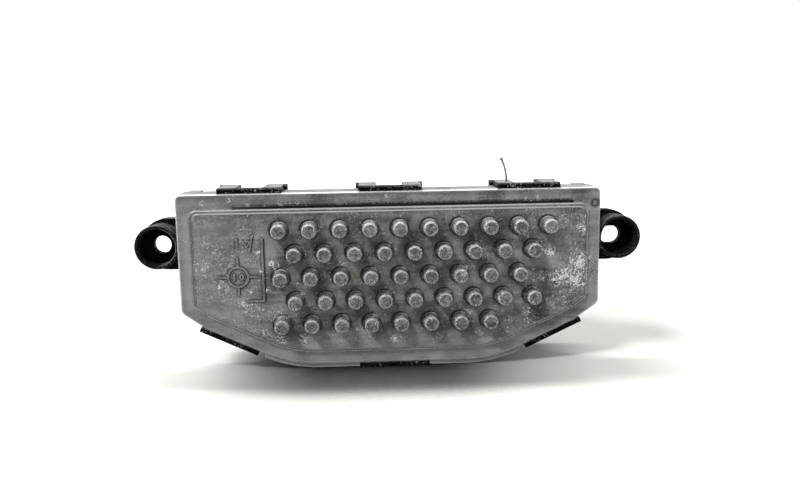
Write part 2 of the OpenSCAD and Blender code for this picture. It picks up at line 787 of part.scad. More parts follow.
// Capacitor lying on the board, with a crimp groove near its leads
lead_bend = 2.2;
capacitor_lead_x = capacitor_x + capacitor_l / 2 + lead_bend;
capacitor_y = board_rear + capacitor_d / 2;
can_edge = 0.5;
crimp_back = 2.4;
module capacitor() {
    r = capacitor_d / 2;
    l = capacitor_l;
    e = can_edge;
    c = capacitor_l - crimp_back;
    color([0.12, 0.12, 0.2]) placed()
        translate([capacitor_x - l / 2, capacitor_y, capacitor_z]) rotate([0, 90, 0]) rotate_extrude()
            polygon([[0, 0], [r - e, 0], [r, e], [r, c - 1.2 * e], [r - e, c - 0.4 * e],
                [r - e, c + 0.4 * e], [r, c + 1.2 * e], [r, l - e], [r - e, l], [0, l]]);
}
module capacitor_leads() {
    x0 = capacitor_x + capacitor_l / 2;
    r = capacitor_lead_r;
    color("silver") placed()
        for (s = [-1, 1]) translate([0, 0, capacitor_z + s * capacitor_lead_pitch / 2]) {
            translate([x0, capacitor_y, 0]) rotate([0, 90, 0])
                cylinder(h = capacitor_lead_x - x0, r = r);
            translate([capacitor_lead_x, capacitor_y, 0]) sphere(r);
            rod(capacitor_lead_x, 0, r, board_y - tail_out, capacitor_y);
        }
}

// Choke: a ring core that lies on the board inside its winding, midway between the motor
// terminal and the cover's side
choke_x = (motor_x + motor_blade_pitch / 2 + blade_t / 2 + cover_x - cover_wall) / 2;
choke_z = 24.5;
choke_bore = choke_d * 0.5;
choke_turns = 12;
choke_y = board_rear + wire_d;
winding_fit = 0.05;
module choke_core() {
    color([0.25, 0.3, 0.25]) placed()
        turned(choke_x, choke_z, [[choke_bore / 2, choke_y], [choke_d / 2, choke_y],
            [choke_d / 2, choke_y + choke_h], [choke_bore / 2, choke_y + choke_h]]);
}
module choke_winding() {
    w = (choke_d - choke_bore) / 2;
    color([0.75, 0.4, 0.2]) placed()
        for (k = [0 : choke_turns - 1])
            translate([choke_x, choke_y + choke_h / 2, choke_z]) rotate([0, k * 360 / choke_turns, 0])
                translate([(choke_d + choke_bore) / 4, 0, -wire_d / 2]) linear_extrude(wire_d)
                    difference() {
                        square([w + 2 * wire_d, choke_h + 2 * wire_d], center = true);
                        square([w + 2 * winding_fit, choke_h], center = true);
                    }
}

// Current-sense strap: a bridge of sheet metal soldered to the board
shunt_w = 4;
shunt_t = 0.6;
shunt_h = 3;
shunt_half = package_x - lead_pitch - lead_w / 2 - 0.8;
shunt_foot = 2.4;
module shunt() {
    side = [[shunt_half, 0], [shunt_half, shunt_t], [shunt_half - shunt_foot + shunt_t, shunt_t],
        [shunt_half - shunt_foot + shunt_t, shunt_h]];
    under = [[shunt_half - shunt_foot, shunt_h - shunt_t], [shunt_half - shunt_foot, 0]];
    right = concat(under, side);
    color([0.6, 0.5, 0.35]) placed()
        translate([0, board_rear, lead_z - shunt_w / 2]) linear_extrude(shunt_w)
            polygon(concat(right, [for (k = [len(right) - 1 : -1 : 0]) [-right[k].x, right[k].y]]));
}

// Control chip with seven legs on each side
chip_x = -6;
chip_drop = 4.8;
chip_z = cover_roof - chip_drop;
chip_l = 8.8;
chip_w = 3.8;
chip_t = 1.4;
chip_lift = 0.15;
leg_pitch = 1.27;
module control_chip() {
    color([0.1, 0.1, 0.1]) placed() slab(board_rear + chip_lift, board_rear + chip_lift + chip_t)
        translate([chip_x - chip_l / 2, chip_z - chip_w / 2]) square([chip_l, chip_w]);
}
module chip_legs() {
    color("silver") placed()
        for (s = [-1, 1], k = [-3 : 3])
            across(chip_x + k * leg_pitch - 0.2, chip_x + k * leg_pitch + 0.2)
                polygon([for (p = [[0.9, 0], [0.9, 0.4], [0.2, 0.55], [0.2, 1.1], [0, 1.1], [0, 0.4],
                    [0.7, 0.25], [0.7, 0]]) [board_rear + p[0], chip_z + s * (chip_w / 2 + p[1])]]);
}

// Small parts soldered to the board
chip_part = [2, 0.6, 1.3];
low_parts_x = [-15, -11.5, 12, 15.5, 19];
low_parts_rise = 3.6;
side_parts_inset = 10;
side_parts_z = [18, 21.5, 25];
middle_parts = [[3, 18.5], [6.5, 18.5], [1.5, 33.5], [5, 24.5]];
chip_parts = [for (x = low_parts_x) [x, lead_z + low_parts_rise],
    for (z = side_parts_z) [side_parts_inset - cover_x, z], each middle_parts];
module chip_components() {
    color([0.35, 0.3, 0.25]) placed()
        for (p = chip_parts)
            translate([p.x - chip_part.x / 2, board_rear, p.y - chip_part.z / 2]) cube(chip_part);
}

// Surface-mounted diode with its tab
diode_x = 9;
diode_drop = 5.2;
diode_z = cover_roof - diode_drop;
diode_case = [6.6, 2.3, 5];
diode_tab = [5.2, 0.6, 1.6];
diode_leg = [0.8, 0.6, 1.7];
diode_pitch = 4.56;
module freewheel_diode() {
    color([0.12, 0.12, 0.12]) placed() translate([diode_x, board_rear, diode_z]) union() {
        translate([-diode_case.x / 2, 0, -diode_case.z / 2]) cube(diode_case);
        translate([-diode_tab.x / 2, 0, diode_case.z / 2 - 0.1]) cube(diode_tab);
        for (s = [-1, 1])
            translate([(s * diode_pitch - diode_leg.x) / 2, 0, 0.1 - diode_case.z / 2 - diode_leg.z])
                cube(diode_leg);
    }
}

// Blade terminal from the board to the socket, with a narrow tail and a tapered tip
blade_lift = 0.6;
blade_recess = 1.5;
blade_taper = 1.1;
module blade(x) {
    w = blade_w / 2;
    t = tail_w / 2;
    shoulder = board_rear + blade_lift;
    tip = socket_y - blade_recess;
    across(x - blade_t / 2, x + blade_t / 2) translate([0, socket_z])
        polygon([[board_y - tail_out, -t], [shoulder, -t], [shoulder, -w], [tip - blade_taper, -w],
            [tip, blade_taper - w], [tip, w - blade_taper], [tip - blade_taper, w], [shoulder, w],
            [shoulder, t], [board_y - tail_out, t]]);
}
module supply_blades() {
    color("silver") placed() for (x = supply_blades_x) blade(x);
}
module motor_blades() {
    color("silver") placed() for (x = motor_blades_x) blade(x);
}
pin_recess = 2.5;
pin_taper = 0.8;
module signal_pins() {
    tip = socket_y - pin_recess;
    h = signal_t / 2;
    color("silver") placed()
        for (x = signal_pins_x)
            across(x - h, x + h) translate([0, socket_z])
                polygon([[board_y - tail_out, -h], [tip - pin_taper, -h], [tip, -h / 2], [tip, h / 2],
                    [tip - pin_taper, h], [board_y - tail_out, h]]);
}

// Dry stem that stands in the right upper loop and bends to the left
stem_inset = 3.2;
stem_x = top_loop_x - loop_w / 2 + stem_inset;
stem_y = 5;
stem_sweep = 26;
module dry_stem() {
    base_z = sink_h + foot + wall_draft * (stem_y + stem_d) / flange_y;
    color([0.35, 0.32, 0.28]) placed()
        translate([stem_x, stem_y, base_z]) {
            translate([-stem_bend, 0, 0]) rotate([90, 0, 0])
                rotate_extrude(angle = stem_sweep) translate([stem_bend, 0]) circle(stem_d / 2);
            translate([-stem_bend * (1 - cos(stem_sweep)), 0, stem_bend * sin(stem_sweep)])
                sphere(stem_d * 0.75);
        }
}

heat_sink();
housing();
circuit_board();
power_transistors();
transistor_leads();
thermal_pads();
clamp_spring();
clamp_screw();
board_screws();
capacitor();
capacitor_leads();
choke_core();
choke_winding();
shunt();
control_chip();
chip_legs();
chip_components();
freewheel_diode();
supply_blades();
signal_pins();
motor_blades();
dry_stem();
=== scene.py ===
import json
import math

import bpy
from mathutils import Euler, Matrix, Vector

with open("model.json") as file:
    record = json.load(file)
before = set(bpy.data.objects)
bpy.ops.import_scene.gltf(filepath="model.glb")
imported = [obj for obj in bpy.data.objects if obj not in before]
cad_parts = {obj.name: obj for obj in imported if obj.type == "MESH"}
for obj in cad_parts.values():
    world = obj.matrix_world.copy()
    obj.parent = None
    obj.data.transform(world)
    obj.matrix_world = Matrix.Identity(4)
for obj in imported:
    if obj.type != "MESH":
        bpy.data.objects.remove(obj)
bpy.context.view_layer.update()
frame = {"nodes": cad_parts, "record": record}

MM = 0.001
NODES = frame["nodes"]
MOUNTS = {m["name"]: m for m in frame["record"]["mounts"]}

# Camera of the photograph: place in millimetres, turn in degrees, and focal length for its sensor's width
CAMERA_AT = (-5.976, -206.493, 62.388)
CAMERA_TURN = (81.213, 0.960, -2.642)
CAMERA_LENS = 32.4
SENSOR_WIDTH = 36.0

# The casting's own frame, in millimetres: X from its middle, Y from its front border, Z from its lower edge
BORDER_Y = MOUNTS["duct_face"]["pos_m"][1] / MM
EDGE_Z = 1.5
PANEL_Y = -1.5

# Pins, in the casting's frame
PIN_PITCH = 8.0
ROW_PITCH = 6.4
FIRST_PIN_X = -29.6
ROW_SHIFT = 3.8
FIRST_ROW_Z = 37.35
PIN_FACE_R = 1.55
PIN_TIP_Y = -5.5
ROWS = 5
PINS_RIGHT_X = 46.3
PINS_TOP_Z = 41.6
# Free places in the grid, right of the last pin of a row: [least x, row]
FREE_PLACES = ((42.3, 1), (38.4, 2), (42.3, 3), (30.4, 4))

# The panel's steps, in the casting's frame: their straight sides, the lines beside those, their upper edges
SIDES_Z = (15.0, 42.5)
# LEFT_HIGHLIGHT_X and RIGHT_HIGHLIGHT_X are painted highlights, LEFT_SHADE_X a line of painted shade; the
# upper edges carry painted highlights
LEFT_HIGHLIGHT_X = (-56.5, -53.6)
LEFT_SHADE_X = -52.75
RIGHT_HIGHLIGHT_X = 53.45
OUTER_TOP_Z = (42.5, 43.1)
INNER_TOP_Z = (42.0, 42.4)
INNER_TOP_X = (-48.0, -44.0)

# Front edges that are worn bright and carry painted highlights, in the casting's frame: its own, the lip's,
# and the two steps' broken ones
FRONT_EDGE_Y = (0.0, 0.42)
LIP_EDGE_Y = (0.7, 1.04)
LIP_TOP_Z = 6.0
OUTER_BREAK_Y = (-0.73, -0.42)
INNER_BREAK_Y = (PANEL_Y + 0.02, PANEL_Y + 0.32)

# Soft changes over the casting, in its frame. A pair is where a change starts and where it is full
WARM_LEFT_X = (-40.0, -56.0)
PALE_LEFT_X = (-30.0, -38.0)
PALE_RIGHT_X = (52.0, 55.5)
PAINTED_LIGHT_LOW_Z = (12.0, 1.0)
DARK_TOP_Z = (44.5, 47.0)
DARK_PANEL_TOP_Z = (39.0, 42.0)
DARK_CORNER_X = ((-48.0, -42.0), (-8.0, -20.0))
DARK_CORNER_Z = (42.6, 44.0)
# Painted shade: SHADED_GAPS_X and SHADED_GAPS_Z bound the gaps between the pins that are darkened where their
# shade falls
SHADED_GAPS_X = ((-37.0, -28.0), (50.0, 39.0))
SHADED_GAPS_Z = ((5.0, 11.0), (43.0, 39.0))
DARK_WAIST_Y = ((-2.6, -3.1), (-4.5, -3.9))

# Marks on the casting, in its frame
GROOVE_X = (-42.6, 50.1)
GROOVE_FADE_X = (-42.0, -30.0)
GROOVE_Z = (43.0, 43.95)
GROOVE_Y = 1.5
EJECTOR_X = 55.5
EJECTOR_Z = 42.9
EJECTOR_RING_R = 0.95
EJECTOR_OUTER_R = 1.7
DIAL_RIGHT_X = -30.0
DIAL_LINE_X = -33.85
DIAL_LINE_Z = (17.8, 35.8)

# White oxide on the casting: [x, z, radius, amount] in its frame
OXIDE_PATCHES = (
    # Right of the pins
    (51.4, 24.8, 6.0, 2.1),
    (52.6, 28.0, 3.2, 1.2),
    (52.2, 21.5, 3.2, 1.0),
    (48.2, 23.2, 3.6, 1.5),
    (45.0, 23.4, 3.0, 1.2),
    (43.2, 29.9, 2.4, 1.9),
    (52.0, 36.2, 2.4, 2.0),
    (52.4, 38.6, 1.6, 1.0),
    (44.2, 21.6, 2.2, 1.1),
    (41.0, 23.6, 2.4, 0.9),
    (49.0, 31.5, 3.0, 0.5),
    (45.5, 25.5, 3.0, 0.7),
    (46.5, 37.5, 3.0, 0.4),
    (39.0, 19.5, 2.5, 0.5),
    # Among the pins, right half
    (36.7, 34.5, 1.6, 1.2),
    (19.3, 25.6, 1.9, 1.5),
    (25.2, 29.2, 1.5, 1.0),
    (21.2, 14.0, 1.5, 0.9),
    (23.6, 7.6, 1.7, 1.3),
    (32.9, 11.3, 1.9, 1.1),
    (29.4, 8.9, 1.7, 0.9),
    (12.5, 6.9, 2.0, 0.8),
    # Lower right
    (43.7, 15.8, 2.4, 1.1),
    (36.7, 13.8, 2.6, 0.7),
    (48.3, 18.8, 4.5, 0.6),
    # Round the dial
    (-48.0, 29.5, 6.5, 0.35),
    (-44.0, 20.5, 5.0, 0.3),
    (-37.0, 29.5, 2.5, 0.4),
    (-31.4, 27.6, 2.2, 1.5),
    (-33.0, 21.5, 1.2, 1.0),
    (-38.5, 16.5, 4.0, 0.75),
    (-31.5, 14.5, 3.4, 0.8),
    (-34.0, 9.0, 2.0, 0.6),
    (-41.9, 31.1, 1.0, 1.7),
    (-42.7, 28.4, 1.0, 1.3),
    (-38.7, 32.5, 1.1, 1.2),
    (-35.3, 31.6, 0.8, 1.9),
    (-34.9, 26.6, 0.8, 1.9),
    (-38.0, 21.0, 1.2, 1.7),
    (-40.2, 18.0, 1.6, 1.0),
    (-46.2, 22.4, 0.7, 1.9),
    (-33.5, 21.2, 0.7, 2.1),
    (-32.1, 28.8, 1.0, 1.9),
    (-39.1, 22.4, 0.7, 1.1),
    (-40.8, 32.4, 0.9, 0.9),
    # Among the pins, left half
    (-24.6, 20.0, 1.7, 1.2),
    (-16.6, 27.6, 1.6, 1.1),
    (-13.1, 28.3, 1.2, 0.9),
    (-24.3, 7.3, 2.2, 1.6),
    (-30.5, 7.2, 2.2, 0.9),
    (0.4, 7.1, 1.8, 1.4),
    # Along the groove
    (-49.9, 44.8, 1.3, 2.4),
    (-42.7, 45.3, 1.1, 2.4),
    (-37.9, 44.2, 1.0, 2.0),
    (-33.4, 43.8, 0.7, 1.6),
    (-29.3, 44.3, 1.3, 2.4),
    (-26.6, 44.4, 0.7, 1.7),
    (-24.7, 44.6, 1.0, 2.2),
    (-22.2, 43.5, 0.8, 1.7),
    (-1.1, 45.8, 0.9, 2.2),
    (-13.4, 43.7, 0.8, 1.5),
    (36.5, 44.5, 1.1, 2.1),
    (38.4, 43.7, 1.2, 2.0),
    (40.0, 44.6, 1.4, 2.4),
    (49.7, 44.0, 0.8, 1.6),
    (44.8, 42.9, 1.2, 1.3),
)
MOST_OXIDE = 1.9
# Groups of dark pits: [x, z, radius, amount] in the casting's frame
PIT_GROUPS = (
    (-50.0, 44.0, 3.5, 1.0),
    (-43.0, 43.6, 1.8, 1.0),
    (16.2, 45.9, 1.6, 1.0),
    (14.5, 45.0, 2.5, 1.0),
    (51.6, 20.5, 3.0, 1.0),
    (-4.5, 44.4, 2.0, 1.0),
    (54.5, 25.0, 4.0, 1.0),
)

# Ears of the housing, in millimetres: their axes, from the middle and above the table, and their radii
EAR_X = MOUNTS["right_boss_socket"]["pos_m"][0] / MM
EAR_Z = MOUNTS["right_boss_socket"]["pos_m"][2] / MM
EAR_BORE_R = 5.0
EAR_OUTER_R = 7.5
EAR_BACK_Y = (13.0, 12.0)
# The snap loops: their front, and the height above the table from which tops are paler, dusty with a painted
# sheen
LOOP_FRONT_Y = (1.0, 0.5)
LOOP_TOP_Z = (46.5, 47.5)

# The floor, in metres. A pair is where a change starts and ends: the painted shadow's sides under the part,
# its end round its middle and in front, the stretches beside the part lifted by painted light, and the plain
# white
FLOOR_HALF = 6.0
FLOOR_TINT = (1.0, 0.985, 0.95)
SHADOW_LEFT_X = (-0.05, -0.018)
SHADOW_RIGHT_X = (0.043, 0.012)
SHADOW_MIDDLE = (0.02, 0.015, 0.0)
SHADOW_END = (0.065, 0.1)
SHADOW_FRONT_Y = (-0.032, -0.041)
PAINTED_LIGHT_LEFT_X = (-0.034, -0.056)
PAINTED_LIGHT_RIGHT_X = (0.036, 0.06)
PAINTED_LIGHT_RIGHT_Y = (0.002, -0.012)
WHITE_FROM = (0.15, 0.6)


class Shader:
    """Builds one node material from short calls. A mask is a number from 0 to 1 at each point."""

    def __init__(self, name):
        self.material = bpy.data.materials.new(name)
        self.material.use_nodes = True
        self.tree = self.material.node_tree
        self.tree.nodes.clear()

    def node(self, kind, inputs=None, **settings):
        n = self.tree.nodes.new(kind)
        for key, value in settings.items():
            setattr(n, key, value)
        for key, value in (inputs or {}).items():
            self.feed(n.inputs[key], value)
        return n

    def feed(self, socket, value):
        if isinstance(value, bpy.types.NodeSocket):
            self.tree.links.new(value, socket)
        else:
            socket.default_value = value

    def math(self, operation, *values, clamp=False):
        inputs = dict(enumerate(values))
        return self.node("ShaderNodeMath", inputs, operation=operation, use_clamp=clamp).outputs[0]

    def chain(self, operation, values):
        """Joins values two by two with one operation."""
        total = values[0]
        for value in values[1:]:
            total = self.math(operation, total, value)
        return total

    def add(self, *values):
        return self.chain("ADD", values)

    def times(self, *values):
        return self.chain("MULTIPLY", values)

    def most(self, *values):
        return self.chain("MAXIMUM", values)

    def inverse(self, value):
        return self.math("SUBTRACT", 1.0, value, clamp=True)

    def distance(self, dx, dz):
        return self.math("SQRT", self.add(self.times(dx, dx), self.times(dz, dz)))

    def ramp(self, value, low, high):
        """0 at low and 1 at high, smooth between them; low may be above high."""
        inputs = {"Value": value, "From Min": low, "From Max": high}
        return self.node("ShaderNodeMapRange", inputs, interpolation_type="SMOOTHSTEP").outputs[0]

    def band(self, value, rise, fall):
        """1 between two values, from a ramp up and a ramp down."""
        return self.times(self.ramp(value, *rise), self.ramp(value, *fall))

    def near(self, value, middle, reach, full):
        """1 within full of the middle, 0 beyond reach."""
        return self.ramp(self.math("ABSOLUTE", self.add(value, -middle)), reach, full)

    def span(self, value, low, high):
        """Stretches 0 to 1 to the range from low to high."""
        inputs = {"Value": value, "To Min": low, "To Max": high}
        return self.node("ShaderNodeMapRange", inputs).outputs[0]

    def mix(self, share, a, b):
        n = self.node("ShaderNodeMix", data_type="RGBA")
        self.feed(n.inputs["Factor"], share)
        self.feed(n.inputs[6], a if isinstance(a, bpy.types.NodeSocket) else (*a, 1.0))
        self.feed(n.inputs[7], b if isinstance(b, bpy.types.NodeSocket) else (*b, 1.0))
        return n.outputs[2]

    def coats(self, color, *layers):
        """Lays coats over a colour, one after the other; each has a mask, a strength and a paint."""
        for mask, strength, paint in layers:
            color = self.mix(self.times(mask, strength), color, paint)
        return color

    def millimetres(self, offset=(0.0, 0.0, 0.0), stretch=(1.0, 1.0, 1.0)):
        """Object coordinates in millimetres, moved by offset and then stretched."""
        place = self.node("ShaderNodeTexCoord").outputs["Object"]
        inputs = {
            "Vector": place,
            "Location": [o * s for o, s in zip(offset, stretch)],
            "Scale": [s / MM for s in stretch],
        }
        return self.node("ShaderNodeMapping", inputs).outputs[0]

    def noise(self, place, scale, detail=3.0, roughness=0.5, distortion=0.0):
        inputs = {
            "Vector": place,
            "Scale": scale,
            "Detail": detail,
            "Roughness": roughness,
            "Distortion": distortion,
        }
        return self.node("ShaderNodeTexNoise", inputs).outputs[0]

    def cells(self, place, scale):
        """Distance from the middle of the nearest cell."""
        inputs = {"Vector": place, "Scale": scale}
        return self.node("ShaderNodeTexVoronoi", inputs).outputs["Distance"]

    def axes(self, vector):
        n = self.node("ShaderNodeSeparateXYZ", {0: vector})
        return n.outputs[0], n.outputs[1], n.outputs[2]

    def facing_up(self):
        normal = self.node("ShaderNodeNewGeometry").outputs["Normal"]
        return self.axes(normal)[2]

    def edges(self, radius, low=0.02, high=0.2):
        """1 on outer and inner edges, from how far a bevelled normal leaves the true one."""
        soft = self.node("ShaderNodeBevel", {"Radius": radius * MM}, samples=4).outputs[0]
        true = self.node("ShaderNodeNewGeometry").outputs["Normal"]
        same = self.node("ShaderNodeVectorMath", {0: soft, 1: true}, operation="DOT_PRODUCT")
        return self.ramp(same.outputs["Value"], 1.0 - low, 1.0 - high)

    def hollows(self, reach, low=0.85, high=0.4):
        """1 in corners and at the foot of raised parts, from how much lies nearer than reach."""
        inputs = {"Distance": reach * MM}
        open_share = self.node("ShaderNodeAmbientOcclusion", inputs, samples=4).outputs["AO"]
        return self.ramp(open_share, low, high)

    def bump(self, height, depth, normal=None):
        """Bump of the given depth in millimetres for a height that runs from 0 to 1."""
        inputs = {"Height": height, "Distance": depth * MM, "Strength": 1.0}
        if normal is not None:
            inputs["Normal"] = normal
        return self.node("ShaderNodeBump", inputs).outputs[0]

    def output(self, shader):
        """Ends the material in a shader."""
        out = self.node("ShaderNodeOutputMaterial")
        self.tree.links.new(shader.outputs[0], out.inputs[0])
        return self.material

    def finish(self, **inputs):
        """Ends the material in a Principled shader."""
        values = {key.replace("_", " "): value for key, value in inputs.items()}
        return self.output(self.node("ShaderNodeBsdfPrincipled", values))


def patches(shader, x, z, groups):
    """Sum of soft round patches at the places given."""
    total = 0.0
    for px, pz, radius, amount in groups:
        away = shader.distance(shader.math("SUBTRACT", x, px), shader.math("SUBTRACT", z, pz))
        total = shader.add(shader.times(shader.ramp(away, radius, radius * 0.2), amount), total)
    return total


def odd_row(shader, z):
    """1 along the second and fourth row of pins, 0 along the others."""
    row = shader.math("DIVIDE", shader.math("SUBTRACT", FIRST_ROW_Z + ROW_PITCH / 2, z), ROW_PITCH)
    return shader.math("MODULO", shader.math("FLOOR", row), 2.0)


def pin_distance(shader, x, z):
    """Distance from the axis of the nearest pin, in the staggered grid."""
    start = shader.math("MULTIPLY_ADD", odd_row(shader, z), -ROW_SHIFT, -FIRST_PIN_X)
    dx = shader.math("WRAP", shader.add(x, start), PIN_PITCH / 2, -PIN_PITCH / 2)
    dz = shader.math("WRAP", shader.math("SUBTRACT", z, FIRST_ROW_Z), ROW_PITCH / 2, -ROW_PITCH / 2)
    return shader.distance(dx, dz)


def pin_field(shader, x, z):
    """1 where the grid holds pins, 0 beyond its outline and on its free places."""
    bottom = FIRST_ROW_Z - (ROWS - 0.5) * ROW_PITCH
    start = shader.math("MULTIPLY_ADD", odd_row(shader, z), -ROW_SHIFT, x)
    field = shader.times(
        shader.ramp(start, FIRST_PIN_X - 4.0, FIRST_PIN_X - 3.4),
        shader.ramp(x, PINS_RIGHT_X, PINS_RIGHT_X - 1.0),
        shader.ramp(z, bottom - 0.3, bottom + 0.3),
        shader.ramp(z, PINS_TOP_Z, PINS_TOP_Z - 1.0),
    )
    for least_x, row in FREE_PLACES:
        along_row = shader.near(z, FIRST_ROW_Z - row * ROW_PITCH, 3.3, 3.1)
        free = shader.times(along_row, shader.ramp(x, least_x - 0.1, least_x + 0.1))
        field = shader.times(field, shader.inverse(free))
    return field


class Casting(Shader):
    """Shader of the heat sink, with the places, noises and masks that its layers share."""

    def __init__(self):
        super().__init__("cast_metal")
        self.place = self.millimetres(offset=(0.0, -BORDER_Y, -EDGE_Z))
        self.x, self.y, self.z = self.axes(self.place)
        self.up = self.facing_up()
        self.mottled = self.noise(self.place, 0.13, 4.0, 0.55)
        self.streaks = self.noise(self.millimetres(stretch=(0.08, 0.2, 0.6)), 1.0, 4.0, 0.6)
        self.grain = self.noise(self.place, 1.1, 5.0, 0.8)
        self.fine = self.noise(self.place, 2.4, 3.0, 0.7)
        self.flakes = self.add(self.times(self.grain, 0.55), self.times(self.fine, 0.45))
        self.find_levels()
        self.find_pins()
        self.find_edges()

    def find_levels(self):
        """What lies in front, the border's face, the panel with its pins, and what stands out from it."""
        self.front = self.ramp(self.y, 0.6, -0.4)
        self.border = self.band(self.y, (-0.3, -0.1), (0.25, 0.1))
        self.on_panel = self.ramp(self.y, PANEL_Y + 0.3, PANEL_Y + 0.05)
        self.raised = self.ramp(self.y, PANEL_Y - 0.1, PANEL_Y - 0.35)

    def find_pins(self):
        """The pins' tips with their rims, the pins' sides, and the panel outside the pins' field."""
        self.radius = pin_distance(self, self.x, self.z)
        self.among_pins = self.times(self.on_panel, pin_field(self, self.x, self.z))
        self.free_panel = self.times(self.on_panel, self.inverse(self.among_pins))
        self.tip = self.times(self.among_pins, self.ramp(self.y, PIN_TIP_Y + 0.45, PIN_TIP_Y + 0.35))
        self.side = self.times(self.among_pins, self.inverse(self.tip), self.raised)
        self.on_pin = self.most(self.tip, self.side)
        ragged = self.noise(self.place, 1.7, 3.0, 0.7)
        ragged = self.math("MULTIPLY_ADD", ragged, 1.5, self.add(self.radius, -0.75))
        self.rim = self.times(self.tip, self.ramp(ragged, PIN_FACE_R - 0.15, PIN_FACE_R + 0.05))

    def find_edges(self):
        """The ejector's mark, and the edges outside it: sharp ones, and wide ones beside the steps."""
        dx = self.add(self.x, -EJECTOR_X)
        dz = self.add(self.z, -EJECTOR_Z)
        self.from_ejector = self.distance(dx, dz)
        on_mark = self.ramp(self.from_ejector, EJECTOR_OUTER_R, EJECTOR_OUTER_R - 0.2)
        self.on_ejector = self.times(on_mark, self.ramp(self.y, 0.6, 0.4))
        off_ejector = self.inverse(self.on_ejector)
        low, high = OUTER_TOP_Z
        outer_top = self.times(self.band(self.z, (low, low + 0.1), (high, high - 0.1)), self.front)
        pin_wear = self.times(self.on_pin, self.ramp(self.fine, 0.6, 0.48))
        # Sharp edges for painted highlights with wear, dimmed along the outer step's top and on worn pins
        self.edge = self.times(self.edges(0.3), off_ejector, self.span(outer_top, 1.0, 0.35))
        self.edge = self.times(self.edge, self.span(pin_wear, 1.0, 0.0))
        self.near_step = self.times(self.edges(0.8, 0.004, 0.1), off_ejector)
        self.beside = self.band(self.z, (SIDES_Z[0], SIDES_Z[0] + 3.0), (SIDES_Z[1], SIDES_Z[1] - 1.5))


def bare_grey(s):
    """Clouded grey: warm at the left, lighter beside the pins and at the right, and painted light that makes
    it lighter low down.
    """
    shares = ((s.mottled, 0.35), (s.streaks, 0.3), (s.grain, 0.23), (s.fine, 0.12))
    tone = s.add(*(s.times(noise, share) for noise, share in shares))
    grey = s.mix(s.ramp(tone, 0.41, 0.59), (0.09, 0.089, 0.087), (0.32, 0.32, 0.316))
    olive = s.noise(s.place, 0.2, 3.0)
    violet = s.noise(s.millimetres(offset=(50.0, 0.0, 0.0)), 0.25, 3.0)
    return s.coats(
        grey,
        (s.ramp(s.x, *WARM_LEFT_X), 0.5, (0.27, 0.245, 0.235)),
        (s.ramp(s.x, *PALE_LEFT_X), 0.14, (0.42, 0.41, 0.4)),
        (s.ramp(olive, 0.5, 0.66), 0.35, (0.15, 0.15, 0.11)),
        (s.ramp(violet, 0.52, 0.68), 0.3, (0.18, 0.17, 0.19)),
        # Painted light: lighter low down, where less light reaches the front
        (s.ramp(s.z, *PAINTED_LIGHT_LOW_Z), 0.5, (0.45, 0.45, 0.44)),
        (s.ramp(s.x, *PALE_RIGHT_X), 0.3, (0.42, 0.42, 0.41)),
    )


def worn_and_highlit_edges(s):
    """Worn edges with painted highlights: the casting's and the lip's front edges, and painted highlights on
    the steps' broken edges that face down, where the floor throws light up.
    """
    groove = s.times(
        s.band(s.z, (GROOVE_Z[0] - 0.15, GROOVE_Z[0] - 0.05), (GROOVE_Z[1] - 0.1, GROOVE_Z[1] - 0.2)),
        s.band(s.x, (GROOVE_X[0] - 0.4, GROOVE_X[0] + 0.1), (GROOVE_X[1] + 0.5, GROOVE_X[1])),
    )
    near, far = FRONT_EDGE_Y
    outline = s.band(s.y, (near, near + 0.06), (far, far - 0.08))
    outline = s.times(outline, s.inverse(s.on_ejector), s.inverse(groove))
    near, far = LIP_EDGE_Y
    lip_line = s.band(s.y, (near, near + 0.06), (far, far - 0.06))
    lip_line = s.times(lip_line, s.ramp(s.z, LIP_TOP_Z, LIP_TOP_Z - 2.0))
    near, far = INNER_BREAK_Y
    inner_break = s.band(s.y, (near, near + 0.03), (far, far - 0.07))
    near, far = OUTER_BREAK_Y
    outer_break = s.band(s.y, (near, near + 0.03), (far, far - 0.04))
    downward_highlight = s.times(s.ramp(s.up, -0.2, -0.45), s.ramp(s.fine, 0.38, 0.48))
    return s.most(
        s.times(s.most(outline, lip_line), s.ramp(s.grain, 0.34, 0.48)),
        s.times(s.most(inner_break, outer_break), downward_highlight),
    )


def top_dust_and_painted_light(s):
    """Dusty, paler tops and painted top light on what faces up near the front, broken on the pins' sides."""
    faces = s.times(s.ramp(s.up, 0.3, 0.75), s.ramp(s.y, 1.5, 0.3), s.span(s.side, 1.0, 0.45))
    broken = s.times(s.side, s.inverse(s.ramp(s.grain, 0.42, 0.56)))
    return s.times(faces, s.span(broken, 1.0, 0.3))


